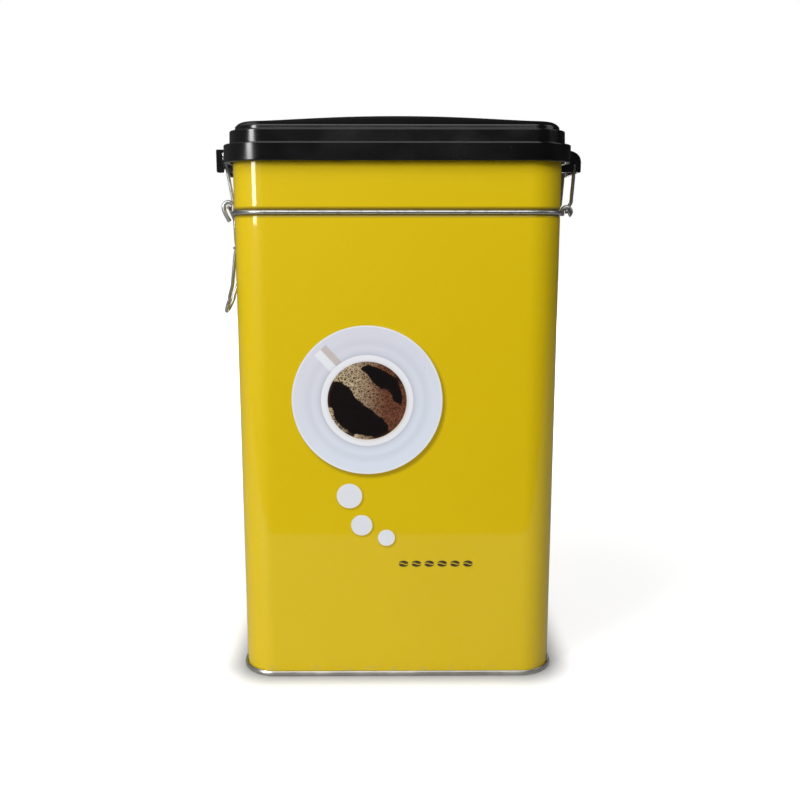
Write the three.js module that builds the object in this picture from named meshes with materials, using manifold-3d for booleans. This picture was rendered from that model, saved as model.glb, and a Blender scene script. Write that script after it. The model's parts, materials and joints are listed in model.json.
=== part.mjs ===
// Rectangular coffee tin with a hinged plastic lid held by a wire toggle clip.
// Millimetres, +Z up, origin at the centre of the foot, front face towards -Y,
// closure on the -X side, hinge on the +X side.
import * as THREE from "three";
import { mergeVertices } from "three/addons/utils/BufferGeometryUtils.js";
import Module from "manifold-3d";

const wasm = await Module();
wasm.setup();

// ---- driving dimensions --------------------------------------------------------------
const HALF_WIDTH = 55; // outer face of the body, along X
const HALF_DEPTH = 37; // outer face of the body, along Y
const CORNER_RADIUS = 11.5; // vertical corners of the body, outside
const SHEET = 0.5; // thickness of the steel sheet
const GAP = 0.3; // clearance between pieces that touch

const SEAM_HEIGHT = 1.9; // bright rim at the foot
const SEAM_PROUD = 1.0; // how far the rim stands out from the body
const BASE_PANEL_Z = 3.1; // top of the recessed base panel
const BODY_FOOT_Z = 0.9; // lower edge of the body sheet, inside the seam
const BODY_TOP_Z = 181.1; // top of the rolled edge
const TOP_ROLL = 1.6; // height and width of the rolled edge

const GROOVE_Z = 162.2; // middle of the neck groove
const GROOVE_RADIUS = 1.05;
const NECK_WIRE = 0.75; // wire radii
const LEVER_WIRE = 0.65;
const BAIL_WIRE = 0.6;
const LINK_WIRE = 0.65;

const SKIRT_Z = [178.3, 184.1]; // bottom and top of the lid's skirt
const TIER_Z = 188.5; // top of the tier above the skirt
const SHOULDER_Z = 190.8; // edge of the raised top panel
const CROWN = 4.9; // rise of the panel from its edge to its middle
const SKIRT_OUT = 2.9; // offsets of the lid's outer walls from the body's face
const TIER_OUT = 0.8;
const PANEL_OUT = -1.0;
const LID_WALL = 1.6; // thickness of the moulding
const SEAT_Z = 182.9; // underside of the skirt's ceiling
const PLUG_Z = 174.5; // lower edge of the plug wall inside the neck
const PLUG_OUT = -2.4; // outer face of the plug wall
const PLUG_WALL = 1.4;
const SEAL_THICK = 1.2;

const LUG_HALF = 14; // half length of both lugs, along Y
const LUG_OUT = 64; // outer face of the hinge lug, and of the grip's tip, along X
const CLOSURE_OUT = 62.8; // outer face of the closure lug's end plates
const PLATE = 2.1; // thickness of those end plates
const LUG_FOOT_Z = 176.4;

const EYE_Y = 12.3; // plane of the wire eyes
const EYE_RADIUS = 1.7; // centre line of the arched closure eye
const LEVER_PIVOT = { x: -59.4, z: 164.6 };
const BAIL_PIVOT = { x: -57.3, z: 151.5 };
const BAIL_BAR = { x: -60.5, z: 180.7 }; // crossbar of the bail
const LINK_PIVOT = { x: 59.7, z: 163.0 };
const LINK_EYE_RADIUS = 1.6;
const LID_PIVOT = { x: 61.7, z: 180.9 }; // crossbar of the hinge link
const CRANK_Y = 10.6; // planes of the lever's cranks and of the top of its grip
const GRIP_Y = 7.4;
const GRIP_END_Z = 131.8; // where the grip's rounded end begins
const GRIP_END_Y = 4.7; // half width of the grip at its rounded end
const BAIL_LEG_Y = 9.0;
const HOOK_RADIUS = 1.4; // centre line of the bail's hooks
const LINK_LEG_Y = 10.4;
const PIN_END_Y = 13.6;

const CORNER_STEPS = 7; // facets of a rounded corner
const LID_SIDE_STEPS = 4; // extra points along each straight side of the lid
const WIRE_SIDES = 8;

// ---- solids and sweeps ---------------------------------------------------------------

// A closed three.js geometry as a manifold-3d solid, turned outside out if need be.
function solid(geometry) {
  const bare = geometry.index ? geometry.toNonIndexed() : geometry.clone();
  for (const name of ["normal", "uv"]) bare.deleteAttribute(name);
  const merged = mergeVertices(bare, 1e-3);
  const triVerts = new Uint32Array(merged.index.array);
  const vertProperties = merged.attributes.position.array;
  const made = new wasm.Manifold(new wasm.Mesh({ numProp: 3, vertProperties, triVerts }));
  if (made.volume() > 0) return made;
  return new wasm.Manifold(
    new wasm.Mesh({ numProp: 3, vertProperties, triVerts: triVerts.slice().reverse() }),
  );
}

function geometryOf(shape) {
  const mesh = shape.getMesh();
  const geometry = new THREE.BufferGeometry();
  geometry.setAttribute("position", new THREE.BufferAttribute(mesh.vertProperties, 3));
  geometry.setIndex(new THREE.BufferAttribute(mesh.triVerts, 1));
  geometry.computeVertexNormals();
  return geometry;
}

// The rounded outline that lies offset outside the body, with extra points on its sides.
function outline(offset, sideSteps) {
  const halfX = Math.max(HALF_WIDTH + offset, 0);
  const halfY = Math.max(HALF_DEPTH + offset, 0);
  const radius = Math.max(CORNER_RADIUS + offset, 0.2 * halfY);
  const corners = [[1, 1], [-1, 1], [-1, -1], [1, -1]].map(([sideX, sideY], corner) => {
    const centre = [sideX * (halfX - radius), sideY * (halfY - radius)];
    return arc(...centre, radius, corner * 90, corner * 90 + 90, CORNER_STEPS);
  });
  return corners.flatMap((points, corner) => {
    const [fromX, fromY] = points[CORNER_STEPS];
    const [toX, toY] = corners[(corner + 1) % 4][0];
    const side = Array.from({ length: sideSteps }, (_, i) => {
      const share = (i + 1) / (sideSteps + 1);
      return [fromX + (toX - fromX) * share, fromY + (toY - fromY) * share];
    });
    return [...points, ...side];
  });
}

// A wall that follows the rounded outline. Its section is a list of [offset, z] points that
// closes on itself or starts and ends on the axis, where offset is null. A z may be a
// function of x and y.
function walled(section, sideSteps = 0) {
  const columns = 4 * (CORNER_STEPS + 1 + sideSteps);
  const points = section.map((_, row) => new THREE.Vector2(1, row));
  const geometry = new THREE.LatheGeometry(points, columns);
  const place = geometry.attributes.position;
  section.forEach(([offset, z], row) => {
    const ring = offset === null ? null : outline(offset, sideSteps);
    for (let column = 0; column <= columns; column++) {
      const [x, y] = ring ? ring[column % columns] : [0, 0];
      const height = typeof z === "function" ? z(x, y) : z;
      place.setXYZ(column * section.length + row, x, y, height);
    }
  });
  return solid(geometry);
}

// Points on an arc in a section: centre, radius, first and last angle in degrees.
function arc(u, v, radius, from, to, steps) {
  return Array.from({ length: steps + 1 }, (_, i) => {
    const angle = THREE.MathUtils.degToRad(from + ((to - from) * i) / steps);
    return [u + radius * Math.cos(angle), v + radius * Math.sin(angle)];
  });
}

// A curve that a sweep follows from one listed point to the next.
class Route extends THREE.Curve {
  constructor(points) {
    super();
    this.points = points.map(([x, y, z]) => new THREE.Vector3(x, y, z));
  }
  getPoint(t, target = new THREE.Vector3()) {
    const along = t * (this.points.length - 1);
    const i = Math.min(Math.floor(along + 1e-9), this.points.length - 2);
    return target.lerpVectors(this.points[i], this.points[i + 1], along - i);
  }
  getPointAt(u, target) {
    return this.getPoint(u, target);
  }
  getTangentAt(u, target = new THREE.Vector3()) {
    const last = this.points.length - 1;
    const i = Math.round(u * last);
    const before = this.points[Math.max(i - 1, 0)];
    const here = this.points[i];
    const after = this.points[Math.min(i + 1, last)];
    const into = new THREE.Vector3().subVectors(here, before).normalize();
    const out = new THREE.Vector3().subVectors(after, here).normalize();
    return target.addVectors(into, out).normalize();
  }
}

// Rounds the inner corners of a route with the given bend radius.
function bend(points, radius, steps = 3) {
  const route = points.map((p) => new THREE.Vector3(...p));
  const made = [points[0]];
  for (let i = 1; i < route.length - 1; i++) {
    const back = new THREE.Vector3().subVectors(route[i - 1], route[i]);
    const on = new THREE.Vector3().subVectors(route[i + 1], route[i]);
    const turn = Math.PI - back.angleTo(on);
    if (turn < 0.05) {
      made.push(points[i]);
      continue;
    }
    const most = 0.48 * Math.min(back.length(), on.length());
    const reach = Math.min(radius * Math.tan(turn / 2), most);
    const start = route[i].clone().addScaledVector(back.normalize(), reach);
    const end = route[i].clone().addScaledVector(on.normalize(), reach);
    const curve = new THREE.QuadraticBezierCurve3(start, route[i], end);
    made.push(...curve.getPoints(turn > 0.6 ? steps + 1 : steps - 1).map((p) => p.toArray()));
  }
  made.push(points[points.length - 1]);
  return made;
}

// Round wire of the given radius along a list of points.
function wire(points, radius) {
  const circle = new THREE.Shape();
  circle.absarc(0, 0, radius, 0, 2 * Math.PI);
  const geometry = new THREE.ExtrudeGeometry(circle, {
    curveSegments: WIRE_SIDES,
    steps: points.length - 1,
    extrudePath: new Route(points),
  });
  return solid(geometry);
}

// A prism along Y of an outline in X and Z.
function alongY(outline, fromY, toY) {
  const shape = new THREE.Shape(outline.map(([x, z]) => new THREE.Vector2(x, z)));
  const geometry = new THREE.ExtrudeGeometry(shape, { depth: toY - fromY, bevelEnabled: false });
  geometry.rotateX(Math.PI / 2).translate(0, toY, 0);
  return solid(geometry);
}

const block = (x0, x1, y0, y1, z0, z1) =>
  alongY([[x0, z0], [x1, z0], [x1, z1], [x0, z1]], y0, y1);
const mirrorY = (points) => points.map(([x, y, z]) => [x, -y, z]).reverse();

// ---- the pieces ----------------------------------------------------------------------

function tinBody() {
  const roll = TOP_ROLL / 2;
  const rollZ = BODY_TOP_Z - roll;
  return walled([
    [0, BODY_FOOT_Z],
    ...arc(0, GROOVE_Z, GROOVE_RADIUS, 270, 90, 6),
    ...arc(-roll, rollZ, roll, 0, 270, 6),
    [-SHEET, rollZ - roll],
    ...arc(0, GROOVE_Z, GROOVE_RADIUS + SHEET, 109, 251, 5),
    [-SHEET, BODY_FOOT_Z],
    [0, BODY_FOOT_Z],
  ]);
}

function bottomEnd() {
  const hook = GAP + SHEET; // inner face of the seam's outer wall
  const wall = -SHEET - GAP; // outer face of the chuck wall, inside the body
  return walled([
    [null, BASE_PANEL_Z],
    [wall - 6, BASE_PANEL_Z],
    [wall - 0.4, BASE_PANEL_Z],
    [wall, BASE_PANEL_Z - 0.4],
    [wall, 0.5],
    [GAP, 0.5],
    [GAP, SEAM_HEIGHT],
    [hook, SEAM_HEIGHT],
    [SEAM_PROUD, SEAM_HEIGHT - 0.4],
    [SEAM_PROUD, 0.4],
    [SEAM_PROUD - 0.3, 0],
    [wall - SHEET + 0.2, 0],
    [wall - SHEET, 0.2],
    [wall - SHEET, BASE_PANEL_Z - SHEET],
    [wall - 6, BASE_PANEL_Z - SHEET],
    [null, BASE_PANEL_Z - SHEET],
  ]);
}

// One half of the neck ring, from the closure eye round the front to the hinge eye.
function neckWire() {
  const corner = (cx, from, to) =>
    arc(cx, -(HALF_DEPTH - CORNER_RADIUS), CORNER_RADIUS, from, to, CORNER_STEPS).map(
      ([x, y]) => [x, y, GROOVE_Z],
    );
  const cornerX = HALF_WIDTH - CORNER_RADIUS;
  const { x: px, z: pz } = LEVER_PIVOT;
  const closureEye = [
    [px + 0.3, -EYE_Y, pz - 5],
    [px - EYE_RADIUS + 0.35, -EYE_Y, pz - 1.6],
    ...arc(px, pz, EYE_RADIUS, 180, 0, 6).map(([x, z]) => [x, -EYE_Y, z]),
    [px + EYE_RADIUS, -EYE_Y, GROOVE_Z + 1.1],
    [px + EYE_RADIUS, -EYE_Y - 0.35, GROOVE_Z + 0.35],
    [px + EYE_RADIUS + 0.05, -EYE_Y - 1.2, GROOVE_Z],
    [px + EYE_RADIUS + 0.45, -EYE_Y - 2.6, GROOVE_Z],
    [-HALF_WIDTH - 0.5, -EYE_Y - 6.2, GROOVE_Z],
    [-HALF_WIDTH, -EYE_Y - 8.4, GROOVE_Z],
  ];
  const { x: hx, z: hz } = LINK_PIVOT;
  const hingeEye = [
    [HALF_WIDTH, -EYE_Y - 8.4, GROOVE_Z],
    [HALF_WIDTH + 0.5, -EYE_Y - 6.2, GROOVE_Z],
    [hx - LINK_EYE_RADIUS - 0.6, -EYE_Y - 2.6, GROOVE_Z],
    [hx - LINK_EYE_RADIUS - 0.05, -EYE_Y - 1.1, GROOVE_Z],
    [hx - LINK_EYE_RADIUS, -EYE_Y - 0.3, GROOVE_Z + 0.35],
    ...arc(hx, hz, LINK_EYE_RADIUS, 180, -60, 9).map(([x, z]) => [x, -EYE_Y, z]),
  ];
  return [
    ...closureEye,
    ...corner(-cornerX, 180, 270),
    ...corner(cornerX, 270, 360),
    ...hingeEye,
  ];
}

// The toggle handle: a pin in each closure eye, a crank, a jog for the bail, and a grip.
function leverWire() {
  const { x: px, z: pz } = LEVER_PIVOT;
  const { x: bx, z: bz } = BAIL_PIVOT;
  const half = bend(
    [
      [px, -PIN_END_Y, pz],
      [px, -CRANK_Y, pz],
      [bx - 0.3, -CRANK_Y, pz - 4.3],
      [bx, -CRANK_Y, bz],
      [bx, -GRIP_Y, bz],
      [bx - 1.1, -GRIP_Y + 0.4, bz - 3],
      [bx - 1.9, -GRIP_Y + 0.8, bz - 9],
      [bx - 2.7, -GRIP_END_Y - 1.2, bz - 14.5],
      [bx - 4.0, -GRIP_END_Y - 0.2, bz - 18.5],
    ],
    1,
  );
  const tip = -(LUG_OUT - LEVER_WIRE);
  const end = arc(0, GRIP_END_Z, GRIP_END_Y, 180, 255, 5).map(([y, z]) => {
    const drop = (GRIP_END_Z - z) / GRIP_END_Y;
    return [tip + 1.9 * (1 - drop), y, z];
  });
  const grip = [...half, ...end];
  return [...grip, [tip, 0, GRIP_END_Z - GRIP_END_Y], ...mirrorY(grip)];
}

// The bail: its hooked ends turn on the lever's jogs, and its crossbar lies in the lug.
function bailWire() {
  const { x: px, z: pz } = BAIL_PIVOT;
  const { x, z } = BAIL_BAR;
  const y = BAIL_LEG_Y;
  const hook = arc(px, pz, HOOK_RADIUS, -150, 0, 6).map(([u, v]) => [u, -y, v]);
  const leg = [
    [px + HOOK_RADIUS - 0.1, -y, pz + 1.5],
    [x + 0.5, -y, z - 3],
    [x, -y, z],
  ];
  const half = [...hook, ...leg.slice(0, 1)];
  return [...half, ...bend([...leg, ...mirrorY(leg)], 1.1).slice(1, -1), ...mirrorY(half)];
}

// The hinge stirrup: its ends turn in the hinge eyes, and the lid turns on its crossbar.
function linkWire() {
  const { x: px, z: pz } = LINK_PIVOT;
  const { x, z } = LID_PIVOT;
  const y = LINK_LEG_Y;
  const half = [
    [px, -PIN_END_Y, pz],
    [px, -y, pz],
    [px + 1.9, -y, pz + 3.2],
    [px + 2.5, -y, pz + 12],
    [x + 0.5, -y, z - 2.2],
    [x, -y, z],
  ];
  return bend([...half, ...mirrorY(half)], 1.1);
}

// Height of the raised panel's top: a crown that falls away towards every edge.
function crownZ(x, y) {
  const fall = (at, half) => 1 - Math.min(Math.abs(at) / half, 1) ** 2;
  const rise = fall(x, HALF_WIDTH + PANEL_OUT) * fall(y, HALF_DEPTH + PANEL_OUT);
  return SHOULDER_Z + CROWN * Math.sqrt(rise) ** 1.5;
}

function lidShell() {
  const under = (x, y) => crownZ(x, y) - LID_WALL;
  const plugIn = PLUG_OUT - PLUG_WALL;
  const [skirtFoot, skirtTop] = SKIRT_Z;
  const crownRings = [-31, -23, -15, -8.5, -4.2];
  const skirtIn = SKIRT_OUT - LID_WALL;
  const tierIn = TIER_OUT - 1.5;
  const panelIn = PANEL_OUT - LID_WALL;
  const section = [
    [null, crownZ],
    ...crownRings.map((offset) => [offset, crownZ]),
    [PANEL_OUT - 1.1, SHOULDER_Z - 0.1],
    [PANEL_OUT - 0.3, SHOULDER_Z - 0.7],
    [PANEL_OUT, TIER_Z + 0.3],
    [PANEL_OUT + 0.3, TIER_Z],
    [TIER_OUT - 0.4, TIER_Z],
    [TIER_OUT, TIER_Z - 0.4],
    [TIER_OUT + 0.1, skirtTop],
    [SKIRT_OUT - 0.5, skirtTop],
    [SKIRT_OUT, skirtTop - 0.5],
    [SKIRT_OUT, skirtFoot + 0.6],
    [SKIRT_OUT - 0.4, skirtFoot],
    [skirtIn, skirtFoot],
    [skirtIn, SEAT_Z],
    [PLUG_OUT, SEAT_Z],
    [PLUG_OUT, PLUG_Z + 0.4],
    [PLUG_OUT - 0.4, PLUG_Z],
    [plugIn, PLUG_Z],
    [plugIn, skirtTop + 0.2],
    [tierIn, skirtTop + 0.2],
    [tierIn, TIER_Z - LID_WALL],
    [panelIn, TIER_Z - LID_WALL],
    [panelIn, SHOULDER_Z - LID_WALL - 0.2],
    ...crownRings.slice(0, -1).reverse().map((offset) => [offset, under]),
    [null, under],
  ];
  return walled(section, LID_SIDE_STEPS);
}

// Closure lug: a roofed channel at each end, open below and at its ends. Between them the
// bail's crossbar lies on a tongue, free to swing out when the lever lets it.
function closureLug() {
  const root = -(HALF_WIDTH + SKIRT_OUT - 1);
  const skirtIn = -(HALF_WIDTH + SKIRT_OUT - LID_WALL);
  const top = SKIRT_Z[1];
  const inner = -CLOSURE_OUT + PLATE;
  const windowHalf = BAIL_LEG_Y + 1.5;
  const channel = [
    [root, top],
    [-CLOSURE_OUT + 0.4, top],
    [-CLOSURE_OUT, top - 0.4],
    [-CLOSURE_OUT, LUG_FOOT_Z + 0.5],
    [-CLOSURE_OUT + 0.3, LUG_FOOT_Z],
    [inner, LUG_FOOT_Z],
    [inner, top - 0.9],
    [root, top - 0.9],
  ];
  const tab = block(-58.3, skirtIn, -LUG_HALF, LUG_HALF, LUG_FOOT_Z, SKIRT_Z[0] + 1);
  const tongueTop = BAIL_BAR.z - BAIL_WIRE - 0.35;
  const tongue = block(-62.2, skirtIn - 0.2, -7.6, 7.6, tongueTop - 1.6, tongueTop);
  return alongY(channel, -LUG_HALF, LUG_HALF)
    .subtract(block(-CLOSURE_OUT - 1, -58.0, -windowHalf, windowHalf, LUG_FOOT_Z - 1, top + 1))
    .add(tab)
    .add(tongue);
}

// Hinge lug: a hooded pocket with end walls. The link's crossbar turns between the hood and
// a ledge, and its legs swing out through two slots.
function hingeLug() {
  const root = HALF_WIDTH + SKIRT_OUT - 0.5;
  const inside = HALF_WIDTH + SKIRT_OUT;
  const plate = LUG_OUT - 1.0;
  const top = SKIRT_Z[1];
  const foot = LUG_FOOT_Z;
  const hood = [
    [root, top - 0.1],
    [LUG_OUT - 3.3, top - 0.4],
    [LUG_OUT - 1.6, top - 1.2],
    [LUG_OUT - 0.5, top - 2.3],
    [LUG_OUT, top - 3.7],
    [LUG_OUT, foot + 0.4],
    [LUG_OUT - 0.3, foot],
    [root, foot],
  ];
  const pocket = [
    [inside, foot - 1],
    [inside, top - 1.6],
    [plate - 2.1, top - 1.6],
    [plate - 1.1, top - 2.0],
    [plate - 0.3, top - 2.9],
    [plate, top - 3.9],
    [plate, foot - 1],
  ];
  const notch = [
    [plate - 1.7, foot - 1],
    [plate - 1.5, foot + 2.4],
    [plate - 0.9, foot + 3.0],
    [plate - 0.4, foot + 2.6],
    [plate, foot - 1],
  ];
  const wall = LUG_HALF - 1.3;
  const slot = [LINK_LEG_Y - 1.1, LINK_LEG_Y + 1.1];
  const slotTop = LID_PIVOT.z + 2.0;
  let lug = alongY(hood, -LUG_HALF, LUG_HALF)
    .subtract(alongY(pocket, -wall, wall))
    .subtract(alongY(notch, -LUG_HALF - 1, LUG_HALF + 1));
  for (const side of [-1, 1]) {
    const [y0, y1] = side < 0 ? [-slot[1], -slot[0]] : slot;
    lug = lug.subtract(block(plate - 1, LUG_OUT + 1, y0, y1, foot - 1, slotTop));
  }
  const ledge = block(root, plate + 0.5, -slot[0], slot[0], 178.4, LID_PIVOT.z - LINK_WIRE - 0.3);
  return lug.add(ledge);
}

function lid() {
  return lidShell().add(closureLug()).add(hingeLug());
}

function lidSeal() {
  const out = SKIRT_OUT - LID_WALL - GAP;
  const inner = PLUG_OUT + GAP;
  const top = SEAT_Z - GAP;
  return walled([
    [out, top],
    [out, top - SEAL_THICK],
    [inner, top - SEAL_THICK],
    [inner, top],
    [out, top],
  ]);
}

// ---- the assembly --------------------------------------------------------------------

const finishes = {
  printed: new THREE.MeshStandardMaterial({ color: 0xd7bb22, roughness: 0.3, metalness: 0.2 }),
  steel: new THREE.MeshStandardMaterial({ color: 0xc4c4c0, roughness: 0.3, metalness: 1 }),
  wire: new THREE.MeshStandardMaterial({ color: 0xd0d0cc, roughness: 0.2, metalness: 1 }),
  plastic: new THREE.MeshStandardMaterial({ color: 0x141415, roughness: 0.3, metalness: 0 }),
  rubber: new THREE.MeshStandardMaterial({ color: 0xd9d6cc, roughness: 0.7, metalness: 0 }),
};

const group = new THREE.Group();
function addPiece(name, shape, finish) {
  const mesh = new THREE.Mesh(geometryOf(shape), finishes[finish]);
  mesh.name = name;
  group.add(mesh);
}

const frontWire = neckWire();
addPiece("tin_body", tinBody(), "printed");
addPiece("bottom_end", bottomEnd(), "steel");
addPiece("neck_wire_front", wire(frontWire, NECK_WIRE), "wire");
addPiece("neck_wire_back", wire(mirrorY(frontWire), NECK_WIRE), "wire");
addPiece("closure_lever", wire(leverWire(), LEVER_WIRE), "wire");
addPiece("closure_bail", wire(bailWire(), BAIL_WIRE), "wire");
addPiece("hinge_link", wire(linkWire(), LINK_WIRE), "wire");
addPiece("lid", lid(), "plastic");
addPiece("lid_seal", lidSeal(), "rubber");

export default group;
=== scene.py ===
import json
import math

import bmesh
import bpy
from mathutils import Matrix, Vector


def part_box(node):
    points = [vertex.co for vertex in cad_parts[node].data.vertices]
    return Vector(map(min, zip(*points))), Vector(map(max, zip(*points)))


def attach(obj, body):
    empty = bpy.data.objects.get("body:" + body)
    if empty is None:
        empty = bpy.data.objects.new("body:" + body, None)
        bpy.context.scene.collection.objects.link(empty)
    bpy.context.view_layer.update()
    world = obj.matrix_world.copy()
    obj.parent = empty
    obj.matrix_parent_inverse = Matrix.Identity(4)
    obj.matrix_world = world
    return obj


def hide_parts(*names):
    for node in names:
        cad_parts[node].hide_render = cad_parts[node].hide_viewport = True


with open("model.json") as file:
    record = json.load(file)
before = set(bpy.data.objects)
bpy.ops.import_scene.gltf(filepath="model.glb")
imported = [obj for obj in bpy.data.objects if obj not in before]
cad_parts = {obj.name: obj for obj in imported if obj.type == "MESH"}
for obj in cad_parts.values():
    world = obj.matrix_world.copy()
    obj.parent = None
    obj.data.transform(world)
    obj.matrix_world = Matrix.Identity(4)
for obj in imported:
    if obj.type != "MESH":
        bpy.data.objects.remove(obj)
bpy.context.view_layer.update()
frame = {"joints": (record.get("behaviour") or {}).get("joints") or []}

MM = 0.001

# ---- sizes taken from the frame --------------------------------------------------------
body_low, body_high = (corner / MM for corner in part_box("tin_body"))
_, lid_high = (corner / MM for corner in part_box("lid"))
lever_low, _ = (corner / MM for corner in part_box("closure_lever"))
JOINT = {j["name"]: (j["pos_m"][0] / MM, j["pos_m"][2] / MM) for j in frame["joints"]}
HALF_WIDTH, HALF_DEPTH = body_high.x, body_high.y
CORNER_RADIUS = 11.5
SHEET = 0.5
BODY_TOP, BODY_FOOT = body_high.z, body_low.z
SKIRT_OUT = lid_high.y - HALF_DEPTH
LUG_OUT = lid_high.x

# ---- sizes shared with the CAD source ----------------------------------------------------
GROOVE_Z, GROOVE_DEPTH, GROOVE_SPREAD = 162.2, 1.05, 0.78
NECK_WIRE, LEVER_WIRE, BAIL_WIRE, LINK_WIRE = 0.75, 0.65, 0.6, 0.65
SEAM_HEIGHT, SEAM_PROUD, BASE_PANEL_Z = 1.9, 1.0, 3.1
SKIRT_FOOT, SKIRT_TOP, TIER_TOP = 178.3, 184.1, 188.5
SHOULDER_Z, CROWN = 190.8, 4.9
TIER_OUT, PANEL_OUT, LID_WALL = 0.8, -1.0, 1.6
SEAT_Z, PLUG_Z, PLUG_OUT, PLUG_WALL = 182.9, 174.5, -2.4, 1.4
LUG_HALF, LUG_FOOT = 14.0, 176.4
CLOSURE_OUT, PLATE = 62.8, 2.1
EYE_Y, EYE_RADIUS, LINK_EYE_RADIUS, PIN_END_Y = 12.3, 1.7, 1.6, 13.6
CRANK_Y, GRIP_Y, GRIP_END_Y, GRIP_END_Z = 10.6, 7.4, 4.7, 131.8
BAIL_LEG_Y, HOOK_RADIUS, BAIL_BAR = 9.0, 1.4, (-60.5, 180.7)
LINK_LEG_Y = 10.4

CORNER_STEPS = 20  # facets of a rounded corner
SIDE_STEPS = 14  # extra points along each straight side of the lid
WIRE_SIDES = 20
FLOOR_FRONT = -0.193  # front edge of the table top, in metres
TABLE_GLOW = 0.7  # glow of the table close to the tin, which only the camera sees
TABLE_SHADOW = 12.0  # reach of the soft shadow round the foot, in millimetres


# ---- camera ------------------------------------------------------------------------------
def make_camera():
    data = bpy.data.cameras.new("camera")
    camera = bpy.data.objects.new("camera", data)
    bpy.context.scene.collection.objects.link(camera)
    data.lens = 40.5
    data.sensor_width = 36
    data.clip_start, data.clip_end = 0.01, 20
    camera.location = (-0.00121, -0.33658, 0.15367)
    camera.rotation_euler = (math.radians(79.838), 0, math.radians(-0.386))
    bpy.context.scene.camera = camera


# ---- mesh helpers ------------------------------------------------------------------------
def arc(u, v, radius, start, end, steps):
    """Points on an arc in a plane: centre, radius, first and last angle in degrees."""
    angles = [math.radians(start + (end - start) * i / steps) for i in range(steps + 1)]
    return [(u + radius * math.cos(a), v + radius * math.sin(a)) for a in angles]


def rounded(points, radius, steps=4, closed=False):
    """A polyline with its inner corners rounded. A point may carry its own radius as a last item."""
    made = []
    count = len(points)
    for i, point in enumerate(points):
        own = point[2] if len(point) == 3 else radius
        here = Vector(point[:2])
        if not closed and i in (0, count - 1):
            made.append(tuple(here))
            continue
        back = Vector(points[i - 1][:2]) - here
        on = Vector(points[(i + 1) % count][:2]) - here
        reach = min(own, 0.45 * back.length, 0.45 * on.length)
        if reach < 1e-4:
            made.append(tuple(here))
            continue
        start = here + back.normalized() * reach
        end = here + on.normalized() * reach
        for k in range(steps + 1):
            t = k / steps
            at = start * (1 - t) ** 2 + here * (2 * t * (1 - t)) + end * t**2
            made.append(tuple(at))
    return made


def outline(offset, side_steps, scale=1.0):
    """The rounded outline that lies offset outside the body's face, counter-clockwise."""
    half_x, half_y = HALF_WIDTH + offset, HALF_DEPTH + offset
    radius = max(CORNER_RADIUS + offset, 0.2 * half_y)
    corners = []
    for corner, (sx, sy) in enumerate([(1, 1), (-1, 1), (-1, -1), (1, -1)]):
        centre = sx * (half_x - radius), sy * (half_y - radius)
        corners.append(arc(*centre, radius, corner * 90, corner * 90 + 90, CORNER_STEPS))
    ring = []
    for corner, points in enumerate(corners):
        ring += points
        a, b = Vector(points[-1]), Vector(corners[(corner + 1) % 4][0])
        ring += [tuple(a.lerp(b, (i + 1) / (side_steps + 1))) for i in range(side_steps)]
    return [(x * scale, y * scale) for x, y in ring]


def make_object(name, mesh_maker):
    """A new mesh object, smooth shaded, from a function that fills a bmesh in millimetres."""
    build = bmesh.new()
    mesh_maker(build)
    bmesh.ops.recalc_face_normals(build, faces=build.faces)
    bmesh.ops.scale(build, vec=(MM, MM, MM), verts=build.verts)
    mesh = bpy.data.meshes.new(name)
    build.to_mesh(mesh)
    build.free()
    mesh.shade_smooth()
    mesh.set_sharp_from_angle(angle=math.radians(40))
    made = bpy.data.objects.new(name, mesh)
    bpy.context.scene.collection.objects.link(made)
    made.modifiers.new("flat_faces_stay_flat", "WEIGHTED_NORMAL").keep_sharp = True
    return made


def skin_rings(build, rings, closed):
    """Quads between each ring and the next. A ring of one point is a pole."""
    loops = [[build.verts.new(p) for p in ring] for ring in rings]
    pairs = list(zip(loops, loops[1:]))
    if closed:
        pairs.append((loops[-1], loops[0]))
    for low, high in pairs:
        count = max(len(low), len(high))
        for i in range(count):
            j = (i + 1) % count
            corners = [low[i % len(low)], low[j % len(low)], high[j % len(high)], high[i % len(high)]]
            build.faces.new(list(dict.fromkeys(corners)))


def walled(build, section, side_steps=0, closed=True):
    """A wall round the outline. Its section lists (offset, z) or (offset, z, scale).

    An offset of None is a pole on the axis, and z may be a function of x and y.
    """
    rings = []
    for offset, z, *scale in section:
        ring = [(0.0, 0.0)] if offset is None else outline(offset, side_steps, *scale)
        rings.append([(x, y, z(x, y) if callable(z) else z) for x, y in ring])
    skin_rings(build, rings, closed)


def bend(points, radius, steps=8):
    """A route with its inner corners rounded, and long straight runs left as they are."""
    route = [Vector(p) for p in points]
    made = [route[0]]
    for before, here, after in zip(route, route[1:], route[2:]):
        back, on = before - here, after - here
        turn = math.pi - back.angle(on)
        reach = min(radius * max(math.tan(turn / 2), 0.35), 0.48 * min(back.length, on.length))
        start = here + back.normalized() * reach
        end = here + on.normalized() * reach
        for k in range(steps + 1):
            t = k / steps
            made.append(start * (1 - t) ** 2 + here * (2 * t * (1 - t)) + end * t**2)
    return [tuple(p) for p in made + [route[-1]]]


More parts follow.
